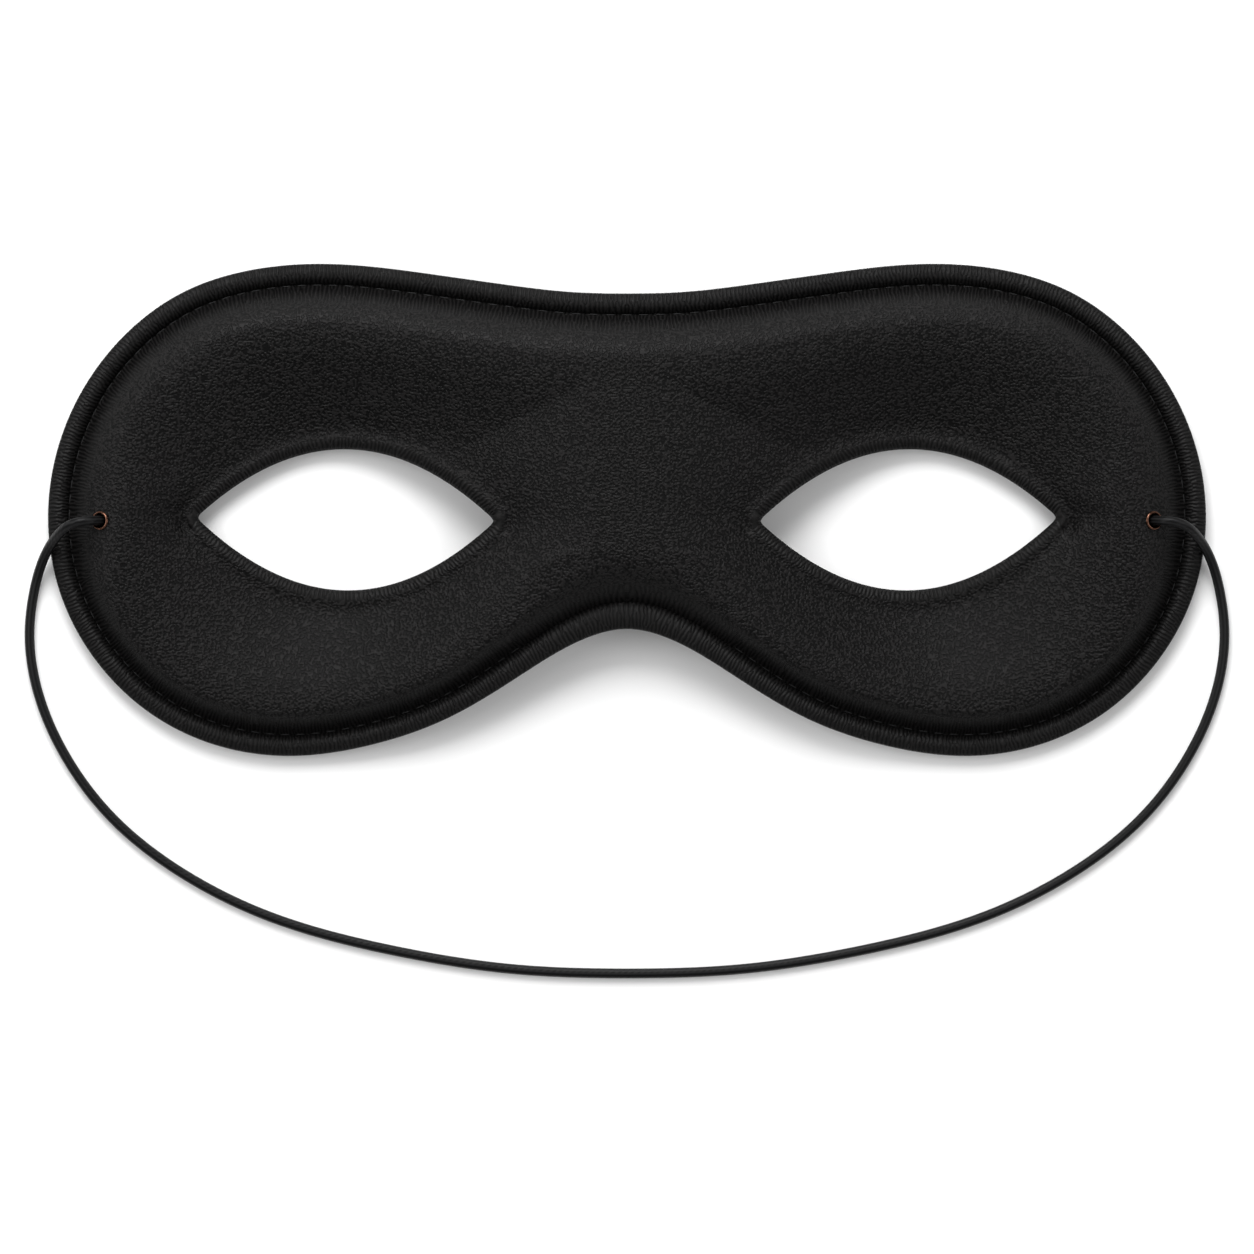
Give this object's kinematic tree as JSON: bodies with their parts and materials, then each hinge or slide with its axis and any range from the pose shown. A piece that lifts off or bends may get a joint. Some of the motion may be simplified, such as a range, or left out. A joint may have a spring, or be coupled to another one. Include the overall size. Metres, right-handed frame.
{
  "type": "domino mask",
  "caption": "Padded cloth domino mask lying face up, with almond eye openings, a bound edge, small metal eyelets and a loose elastic cord.",
  "frame": {"origin": "on the surface that the mask lies on, below the middle of the mask without its cord", "axes": "+X across the mask to the wearer's left, +Y up to the brow, +Z out of the face"},
  "size_m": [0.1874, 0.1111, 0.0144],
  "materials": {
    "mask_cloth": "matt knitted cloth over padding",
    "binding_cloth": "matt folded cloth strip",
    "eyelet_metal": "darkened copper plating",
    "elastic": "fine braided elastic"
  },
  "bodies": {
    "root": {"mask_shell": "mask_cloth", "edge_binding": "binding_cloth", "eyelet_left": "eyelet_metal", "eyelet_right": "eyelet_metal", "elastic_cord": "elastic", "cord_knot_left": "elastic", "cord_knot_right": "elastic"}
  },
  "joints": []
}
